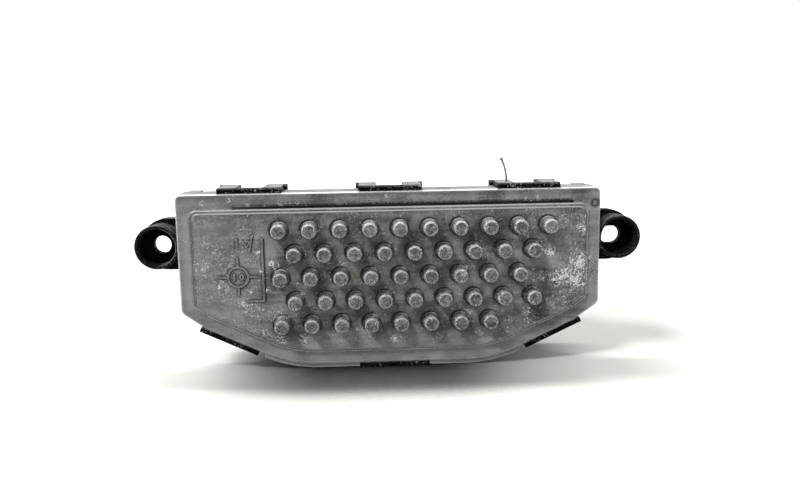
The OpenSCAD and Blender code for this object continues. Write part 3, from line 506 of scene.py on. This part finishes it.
def painted_highlights_and_wear(s):
    """Coats of painted highlight on steps, sharp edges and rims, partly wear, dusty paler tops with painted
    top light, and worn edges with painted highlights.
    """
    low, high = INNER_TOP_Z
    inner_top_highlight = s.times(s.band(s.z, (low, low + 0.1), (high, high - 0.1)), s.on_panel)
    inner_top_highlight = s.times(inner_top_highlight, s.ramp(s.fine, 0.36, 0.46), s.ramp(s.x, *INNER_TOP_X))
    low, high = LEFT_HIGHLIGHT_X
    left_highlight = s.times(s.beside, s.band(s.x, (low, low + 2.3), (high, high - 0.2)), s.border)
    right_highlight = s.times(s.beside, s.near(s.x, RIGHT_HIGHLIGHT_X, 0.4, 0.2), s.front)
    step_highlight = s.times(s.near_step, s.border, s.ramp(s.streaks, 0.3, 0.6))
    return (
        # Painted highlights along the steps, beside the straight sides, on sharp edges and the inner step's
        # top, and on the pins' rims, partly wear
        (step_highlight, 0.5, (0.62, 0.61, 0.6)),
        (left_highlight, 0.35, (0.55, 0.53, 0.52)),
        (right_highlight, 0.35, (0.7, 0.7, 0.69)),
        (s.edge, 0.5, (0.66, 0.66, 0.65)),
        (inner_top_highlight, 0.6, (0.85, 0.85, 0.84)),
        (s.times(s.rim, s.ramp(s.fine, 0.42, 0.54)), 0.9, (0.74, 0.74, 0.73)),
        (top_dust_and_painted_light(s), 0.8, (0.6, 0.6, 0.59)),
        (worn_and_highlit_edges(s), 0.85, (0.85, 0.85, 0.84)),
    )


def oxide_density(s):
    """How much white oxide there is: clusters, patches where the photograph has them, and the pins."""
    clusters = s.ramp(s.noise(s.place, 0.3, 4.0, 0.65), 0.47, 0.66)
    density = s.add(
        s.times(clusters, s.span(s.free_panel, 0.35, 0.55)),
        s.times(patches(s, s.x, s.z, OXIDE_PATCHES), s.front),
        s.times(s.tip, 0.35),
        s.times(s.rim, 0.7),
        s.times(s.side, 0.9),
        s.times(s.free_panel, s.ramp(s.x, DIAL_RIGHT_X, DIAL_RIGHT_X - 6.0), 0.2),
    )
    crusted = s.noise(s.millimetres(offset=(20.0, 0.0, 7.0), stretch=(1.0, 0.1, 1.0)), 0.13, 2.0)
    clean_pins = s.times(s.raised, s.among_pins, s.inverse(s.ramp(crusted, 0.4, 0.6)))
    return s.math("MINIMUM", s.times(density, s.span(clean_pins, 1.0, 0.3)), MOST_OXIDE)


def white_oxide(s, density):
    """Flakes, a lace of threads, and round flecks on the panel."""
    limit = s.math("MULTIPLY_ADD", density, -0.095, 0.655)
    flaked = s.ramp(s.math("SUBTRACT", s.flakes, limit), 0.0, 0.03)
    threads = s.near(s.noise(s.place, 0.95, 3.0, 0.65, 0.9), 0.5, 0.055, 0.012)
    lace = s.times(threads, s.ramp(s.add(density, s.times(s.fine, 1.6)), 0.9, 1.7))
    flecks = s.times(s.ramp(s.cells(s.place, 0.55), 0.2, 0.12), s.on_panel)
    flecks = s.times(flecks, s.ramp(s.noise(s.place, 0.45, 2.0), 0.52, 0.6), s.ramp(s.fine, 0.4, 0.55), 0.8)
    return s.times(s.most(flaked, lace, flecks), s.span(s.front, 0.3, 1.0))


def dark_pits(s):
    """Small dark pits, only inside their groups."""
    spots = s.ramp(s.cells(s.place, 0.9), 0.22, 0.1)
    groups = s.math("MINIMUM", patches(s, s.x, s.z, PIT_GROUPS), 1.0)
    return s.times(spots, groups, s.front)


def dark_groove(s):
    """Painted shade in the groove above the panel, with a ragged upper edge, weaker at its left end."""
    low, high = GROOVE_Z
    ragged = s.times(s.ramp(s.fine, 0.35, 0.55), 0.5)
    across = s.band(s.z, (low, low + 0.12), (s.add(high, ragged), s.add(high - 0.3, ragged)))
    deep = s.band(s.y, (-0.3, -0.1), (GROOVE_Y, GROOVE_Y - 0.3))
    along = s.band(s.x, (GROOVE_X[0], GROOVE_X[0] + 0.6), (GROOVE_X[1], GROOVE_X[1] - 0.7))
    return s.times(across, deep, along, s.span(s.ramp(s.x, *GROOVE_FADE_X), 0.6, 1.0))


def dark_rings(s):
    """Dark rings round the pins' sides."""
    waist = s.times(s.band(s.y, *DARK_WAIST_Y), s.ramp(s.grain, 0.4, 0.5))
    rings = s.noise(s.millimetres(stretch=(0.8, 3.4, 0.8)), 1.0, 3.0, 0.75)
    return s.times(s.side, s.most(waist, s.times(s.ramp(rings, 0.53, 0.47), 1.3)))


def dark_marks(s, density, pits):
    """Pits, painted shade in the groove, specks, the ejector's dark ring, painted shade round the cast marks
    and beside the steps, and dark rings on the pins.
    """
    specks = s.times(s.ramp(s.fine, 0.4, 0.32), s.add(s.times(s.tip, 0.6), s.times(density, 0.5), 0.15))
    bottom, top = DIAL_LINE_Z
    # Painted shade along the right side of the dial's raised line
    dial_line_shade = s.times(s.near(s.x, DIAL_LINE_X, 0.35, 0.15), s.on_panel)
    dial_line_shade = s.times(dial_line_shade, s.band(s.z, (bottom, bottom + 0.4), (top, top - 0.8)))
    ejector = s.times(s.near(s.from_ejector, EJECTOR_RING_R, 0.45, 0.25), s.on_ejector)
    # Painted shade at the foot of the cast marks left of the pins
    mark_shade = s.times(s.hollows(0.8, 0.98, 0.84), s.free_panel)
    left_shade_line = s.times(s.beside, s.near(s.x, LEFT_SHADE_X, 0.55, 0.3), s.ramp(s.y, -0.5, -0.7), s.front)
    return s.most(
        pits,
        dark_groove(s),
        specks,
        s.times(dial_line_shade, 0.75),
        s.times(ejector, s.ramp(s.fine, 0.36, 0.48), 0.75),
        s.times(mark_shade, s.ramp(s.x, DIAL_RIGHT_X, DIAL_RIGHT_X - 3.0), 0.85),
        # Painted shade beside the steps on the free panel, and along the left step's foot
        s.times(s.near_step, s.free_panel, s.inverse(s.edge), 0.5),
        s.times(left_shade_line, s.ramp(s.grain, 0.35, 0.5), 0.55),
        s.times(dark_rings(s), 0.6),
        s.times(s.on_ejector, 0.3),
    )


def painted_shade_and_grime(s):
    """Painted shade between the pins, round their feet and in hollows; dark blotches on tips; darker near the
    upper edge, in the upper left corner and along the panel's top.
    """
    # Painted shade between the pins
    between = s.times(
        s.band(s.x, *SHADED_GAPS_X),
        s.band(s.z, *SHADED_GAPS_Z),
        s.on_panel,
        s.inverse(s.raised),
        s.ramp(s.mottled, 0.75, 0.35),
    )
    # Painted shade round the pins' feet, heavier to the upper left
    below = pin_distance(s, s.add(s.x, 0.25), s.add(s.z, -0.15))
    feet = s.times(s.among_pins, s.inverse(s.raised))
    feet = s.times(feet, s.most(s.ramp(below, 3.1, 2.45), s.ramp(s.radius, 2.85, 2.4)))
    corner = s.times(s.ramp(s.z, *DARK_CORNER_Z), s.band(s.x, *DARK_CORNER_X), s.border)
    return s.most(
        s.times(between, 0.6),
        s.times(feet, 0.95),
        s.times(s.tip, s.inverse(s.rim), s.ramp(s.grain, 0.6, 0.44), 0.5),
        # Painted shade in hollows near the pins
        s.times(s.hollows(3.0), s.span(s.on_pin, 0.7, 0.2)),
        s.times(s.ramp(s.z, *DARK_TOP_Z), s.border, 0.5),
        s.times(corner, 0.35),
        s.times(s.ramp(s.z, *DARK_PANEL_TOP_Z), s.free_panel, 0.3),
    )


def cast_metal():
    """Sand-grey die casting with white oxide scale, dark pits, bright worn edges with painted highlights, and
    painted shade among the pins and in hollows.
    """
    s = Casting()
    density = oxide_density(s)
    oxide = white_oxide(s, density)
    pits = dark_pits(s)
    dark = dark_marks(s, density, pits)
    shade_and_dirt = s.times(painted_shade_and_grime(s), s.front)
    chalk = s.ramp(s.add(s.times(s.fine, 0.6), s.times(s.grain, 0.4)), 0.42, 0.56)
    color = s.coats(
        bare_grey(s),
        # Painted shade among the pins and in hollows, with darker tips and a darker upper edge and corner
        (shade_and_dirt, 1.0, (0.022, 0.022, 0.021)),
        *painted_highlights_and_wear(s),
        (oxide, 0.93, s.mix(chalk, (0.5, 0.5, 0.49), (1.0, 1.0, 0.98))),
        # Pits, specks, and painted shade in the groove, round the cast marks and beside the steps
        (s.times(dark, s.inverse(s.times(oxide, 0.75))), 0.9, (0.02, 0.02, 0.02)),
    )
    shaded_and_soiled = s.most(shade_and_dirt, dark)
    relief = s.bump(s.flakes, 0.1)
    relief = s.bump(oxide, 0.12, relief)
    relief = s.bump(s.inverse(pits), 0.15, relief)
    return s.finish(
        Base_Color=color,
        Metallic=s.span(s.most(oxide, shaded_and_soiled), 0.2, 0.0),
        Specular_IOR_Level=s.span(shaded_and_soiled, 0.4, 0.03),
        Roughness=s.span(oxide, 0.48, 0.85),
        Normal=relief,
    )


def black_plastic():
    """Moulded black plastic: dusty tops with a painted sheen, white specks in front, ears with painted
    highlight streaks and a scuffed bore edge.
    """
    s = Shader("housing_plastic")
    place = s.millimetres(offset=(0.0, -BORDER_Y, 0.0))
    x, y, z = s.axes(place)
    cloud = s.noise(place, 0.25, 4.0, 0.6)
    grain = s.noise(place, 2.2, 4.0, 0.7)
    scratch = s.noise(s.millimetres(stretch=(0.3, 2.5, 0.8)), 1.0, 4.0, 0.7)
    rings = s.noise(s.millimetres(stretch=(0.35, 2.6, 0.35)), 1.0, 3.0, 0.7)

    across = s.math("SUBTRACT", s.math("ABSOLUTE", x), EAR_X)
    from_axis = s.distance(across, s.math("SUBTRACT", z, EAR_Z))
    ear = s.times(s.ramp(from_axis, EAR_OUTER_R, EAR_OUTER_R - 0.3), s.ramp(y, *EAR_BACK_Y))
    loops = s.times(s.ramp(y, *LOOP_FRONT_Y), s.inverse(ear))

    up = s.facing_up()
    cloudy = s.ramp(s.add(s.times(grain, 0.5), s.times(cloud, 0.5)), 0.4, 0.6)
    dust_and_sheen = s.times(s.ramp(up, 0.6, 0.95), s.span(cloudy, 0.45, 0.8))
    # Painted highlights on the ears' upper ribs
    streaks = s.times(s.ramp(up, 0.3, 0.9), s.ramp(rings, 0.47, 0.6), 0.6)
    streaks = s.times(streaks, ear, s.ramp(from_axis, EAR_BORE_R, EAR_BORE_R + 0.4))
    dust_and_sheen = s.add(s.times(dust_and_sheen, s.inverse(ear)), streaks)
    dust_and_sheen_paint = s.mix(s.ramp(z, *LOOP_TOP_Z), (0.26, 0.26, 0.255), (0.42, 0.42, 0.41))

    specks = s.add(s.times(grain, 0.75), s.times(cloud, 0.25))
    specks = s.ramp(s.math("SUBTRACT", specks, s.span(loops, 0.61, 0.585)), 0.0, 0.03)
    bore_edge = s.times(s.near(from_axis, EAR_BORE_R, 0.22, 0.08), s.ramp(across, 0.5, -2.5), ear)
    bore_edge = s.times(bore_edge, s.ramp(x, 0.0, -1.0), s.ramp(grain, 0.38, 0.5), 0.55)
    scuff = s.times(s.ramp(y, 3.0, 2.0), s.ramp(grain, 0.56, 0.66), ear)
    scuff = s.times(scuff, s.ramp(from_axis, EAR_BORE_R - 0.3, EAR_BORE_R), 0.35)
    color = s.coats(
        s.mix(s.ramp(cloud, 0.3, 0.7), (0.004, 0.004, 0.004), (0.009, 0.009, 0.009)),
        (s.times(s.edges(0.25), s.ramp(grain, 0.4, 0.6)), 0.3, (0.1, 0.1, 0.1)),
        # Dusty tops with a painted sheen
        (dust_and_sheen, 1.0, dust_and_sheen_paint),
        (specks, s.span(loops, 0.3, 0.85), (0.6, 0.59, 0.57)),
        (s.most(bore_edge, scuff), 1.0, (0.4, 0.39, 0.37)),
    )

    in_bore = s.times(ear, s.ramp(from_axis, EAR_BORE_R + 0.1, EAR_BORE_R - 0.05))
    shiny = s.times(s.inverse(s.hollows(6.0, 0.8, 0.35)), s.inverse(in_bore), s.span(loops, 1.0, 0.0))
    rough = s.times(s.ramp(scratch, 0.4, 0.75), 0.2)
    rough = s.add(0.35, rough, s.times(s.most(specks, dust_and_sheen), 0.25))
    return s.finish(
        Base_Color=color,
        Roughness=s.math("MINIMUM", rough, 0.9),
        Specular_IOR_Level=s.span(shiny, 0.01, 0.06),
        Normal=s.bump(scratch, 0.02, s.bump(grain, 0.03)),
    )


def plain(name, dark, light, metallic, rough, scale=0.5, grain=3.0, relief=0.01):
    """A finish for a plain piece: a colour that drifts, with its own roughness and fine relief."""
    s = Shader(name)
    place = s.millimetres()
    drift = s.ramp(s.noise(place, scale, 4.0, 0.6), 0.3, 0.7)
    fine = s.noise(place, grain, 4.0, 0.6)
    return s.finish(
        Base_Color=s.mix(drift, dark, light),
        Metallic=metallic,
        Roughness=s.span(fine, *rough),
        Normal=s.bump(fine, relief),
    )


def solder_mask():
    """Green board with faint copper tracks under the lacquer."""
    s = Shader("board")
    place = s.millimetres()
    bricks = {"Vector": place, "Scale": 0.35, "Mortar Size": 0.03}
    tracks = s.node("ShaderNodeTexBrick", bricks).outputs["Fac"]
    drift = s.ramp(s.noise(place, 0.3, 3.0), 0.3, 0.7)
    lacquer = s.mix(drift, (0.01, 0.09, 0.035), (0.015, 0.12, 0.05))
    return s.finish(
        Base_Color=s.mix(s.times(tracks, 0.5), lacquer, (0.03, 0.2, 0.08)),
        Roughness=s.span(drift, 0.25, 0.4),
        Normal=s.bump(tracks, 0.03),
    )


def make_materials():
    """One material for each slot of the record."""
    looks = {
        "package": dict(dark=(0.012, 0.012, 0.013), light=(0.022, 0.022, 0.023), rough=(0.45, 0.65)),
        "tinned": dict(
            dark=(0.5, 0.49, 0.46), light=(0.68, 0.67, 0.64), rough=(0.22, 0.42), scale=0.4, grain=6.0
        ),
        "pad": dict(dark=(0.5, 0.52, 0.54), light=(0.6, 0.62, 0.64), rough=(0.6, 0.8)),
        "spring_steel": dict(dark=(0.42, 0.42, 0.43), light=(0.55, 0.55, 0.56), rough=(0.2, 0.35)),
        "screw_steel": dict(dark=(0.5, 0.48, 0.42), light=(0.62, 0.6, 0.55), rough=(0.25, 0.4)),
        "sleeve": dict(dark=(0.02, 0.022, 0.06), light=(0.03, 0.035, 0.09), rough=(0.2, 0.3)),
        "ferrite": dict(dark=(0.08, 0.09, 0.075), light=(0.12, 0.13, 0.11), rough=(0.45, 0.7), relief=0.03),
        "copper": dict(dark=(0.55, 0.2, 0.08), light=(0.72, 0.32, 0.14), rough=(0.2, 0.35)),
        "strap": dict(dark=(0.42, 0.34, 0.25), light=(0.52, 0.44, 0.33), rough=(0.25, 0.4)),
        "ceramic": dict(dark=(0.3, 0.24, 0.17), light=(0.42, 0.35, 0.27), rough=(0.4, 0.6)),
        "stalk": dict(
            dark=(0.16, 0.15, 0.14), light=(0.36, 0.34, 0.32), rough=(0.6, 0.8), scale=1.5, relief=0.05
        ),
    }
    metals = ("tinned", "spring_steel", "screw_steel", "copper", "strap")
    materials = {slot: plain(slot, metallic=float(slot in metals), **look) for slot, look in looks.items()}
    materials.update(cast_metal=cast_metal(), housing_plastic=black_plastic(), board=solder_mask())
    return materials


def dress_nodes(materials):
    """Gives each CAD node the material of its slot."""
    slots = {part["node"]: part["material_slot"] for part in frame["record"]["subparts"]}
    for name, piece in NODES.items():
        piece.data.materials.clear()
        piece.data.materials.append(materials[slots[name]])


def place_object(name, data):
    """Links a new object with the given data to the scene."""
    thing = bpy.data.objects.new(name, data)
    bpy.context.collection.objects.link(thing)
    return thing


def make_camera():
    data = bpy.data.cameras.new("camera")
    data.sensor_width = SENSOR_WIDTH
    data.lens = CAMERA_LENS
    data.clip_start = 0.01
    camera = place_object("camera", data)
    camera.location = [v * MM for v in CAMERA_AT]
    camera.rotation_euler = Euler([math.radians(a) for a in CAMERA_TURN])
    bpy.context.scene.camera = camera


def soft_sun(name, toward, angle, strength):
    """Distant soft lamp; toward points from the object to the lamp."""
    data = bpy.data.lights.new(name, "SUN")
    data.angle = math.radians(angle)
    data.energy = strength
    lamp = place_object(name, data)
    lamp.rotation_euler = Vector(toward).to_track_quat("Z", "Y").to_euler()


def soft_box(name, toward, distance, size, power):
    """Rectangular soft lamp whose long side runs along X; toward points from the object to it."""
    data = bpy.data.lights.new(name, "AREA")
    data.shape = "RECTANGLE"
    data.size, data.size_y = size
    data.energy = power
    lamp = place_object(name, data)
    way = Vector(toward).normalized()
    side = Vector((0.0, 1.0, 0.0)).cross(way).normalized()
    lamp.location = way * distance
    lamp.rotation_euler = Matrix((side, way.cross(side), way)).transposed().to_euler()


def white_to_eyes(tree):
    """1 for rays from the camera and for those by which gloss and glass show the background."""
    path = tree.nodes.new("ShaderNodeLightPath")
    share = path.outputs["Is Camera Ray"]
    for ray in ("Is Glossy Ray", "Is Transmission Ray"):
        either = tree.nodes.new("ShaderNodeMath")
        either.operation = "MAXIMUM"
        tree.links.new(share, either.inputs[0])
        tree.links.new(path.outputs[ray], either.inputs[1])
        share = either.outputs[0]
    return share


def make_world(ambient):
    """White to the eye, and of the given strength on the object."""
    world = bpy.data.worlds.new("studio")
    bpy.context.scene.world = world
    world.use_nodes = True
    tree = world.node_tree
    tree.nodes.clear()
    background = tree.nodes.new("ShaderNodeBackground")
    background.inputs["Color"].default_value = (1.0, 1.0, 1.0, 1.0)
    strength = tree.nodes.new("ShaderNodeMapRange")
    strength.inputs["To Min"].default_value = ambient
    strength.inputs["To Max"].default_value = 1.0
    tree.links.new(white_to_eyes(tree), strength.inputs["Value"])
    tree.links.new(strength.outputs[0], background.inputs["Strength"])
    out = tree.nodes.new("ShaderNodeOutputWorld")
    tree.links.new(background.outputs[0], out.inputs[0])


def floor_material(paper, glow, bounce):
    """Pale diffuse paint with a painted shadow near the part, and a glow in view that lifts the rest to white
    and adds painted light round the shadow's ends.
    """
    s = Shader("floor")
    place = s.node("ShaderNodeTexCoord").outputs["Object"]
    x, y, _ = s.axes(place)
    middle = s.band(x, SHADOW_LEFT_X, SHADOW_RIGHT_X)
    # Painted shadow: dark paint where much lies near, closed under the part's middle and wider round it
    close = s.times(s.hollows(reach=30.0, low=0.91, high=0.66), middle, 0.97)
    wide = s.times(s.hollows(reach=60.0, low=0.9, high=0.3), s.span(middle, 0.2, 0.55))
    shade = s.inverse(s.times(s.inverse(close), s.inverse(wide)))
    paint = s.mix(shade, tuple(paper * tint for tint in FLOOR_TINT), (0.012, 0.011, 0.01))
    seen = s.node("ShaderNodeLightPath").outputs["Is Camera Ray"]
    diffuse = s.node("ShaderNodeBsdfDiffuse", {"Color": s.mix(seen, (bounce, bounce, bounce), paint)})

    away = s.node("ShaderNodeVectorMath", {0: place, 1: SHADOW_MIDDLE}, operation="DISTANCE").outputs["Value"]
    # Painted light: a glow that lifts the shade beyond its end, in front, at the left and at the right
    painted_light_right = s.times(s.ramp(x, *PAINTED_LIGHT_RIGHT_X), s.ramp(y, *PAINTED_LIGHT_RIGHT_Y), 0.75)
    beyond = s.most(s.ramp(away, *SHADOW_END), s.ramp(y, *SHADOW_FRONT_Y), s.ramp(x, *PAINTED_LIGHT_LEFT_X), painted_light_right)
    glow_and_painted_light = s.times(s.inverse(shade), s.math("MULTIPLY_ADD", beyond, 0.3, glow))
    strength = s.times(white_to_eyes(s.tree), s.add(s.ramp(away, *WHITE_FROM), glow_and_painted_light))
    light = s.node("ShaderNodeEmission", {"Color": (1.0, 0.99, 0.97, 1.0), "Strength": strength})
    return s.output(s.node("ShaderNodeAddShader", {0: diffuse.outputs[0], 1: light.outputs[0]}))


def make_floor(paper, glow, bounce):
    """A pale floor, white in view outside the object's shadow, with a painted shadow darkest beneath its
    lower edge.
    """
    size = FLOOR_HALF
    mesh = bpy.data.meshes.new("floor")
    corners = [(-size, -size, 0.0), (size, -size, 0.0), (size, size, 0.0), (-size, size, 0.0)]
    mesh.from_pydata(corners, [], [(0, 1, 2, 3)])
    mesh.materials.append(floor_material(paper, glow, bounce))
    floor = place_object("floor", mesh)


bpy.context.scene.view_settings.view_transform = "Standard"
make_camera()
make_world(ambient=0.13)
make_floor(paper=0.57, glow=0.13, bounce=0.35)
soft_box("overhead", toward=(-0.2, 0.34, 1.0), distance=2.8, size=(2.4, 0.3), power=84.0)
soft_sun("front_left", toward=(-0.6, -0.62, 1.0), angle=12.0, strength=2.1)
soft_sun("front", toward=(0.15, -1.0, 0.2), angle=70.0, strength=0.3)
dress_nodes(make_materials())
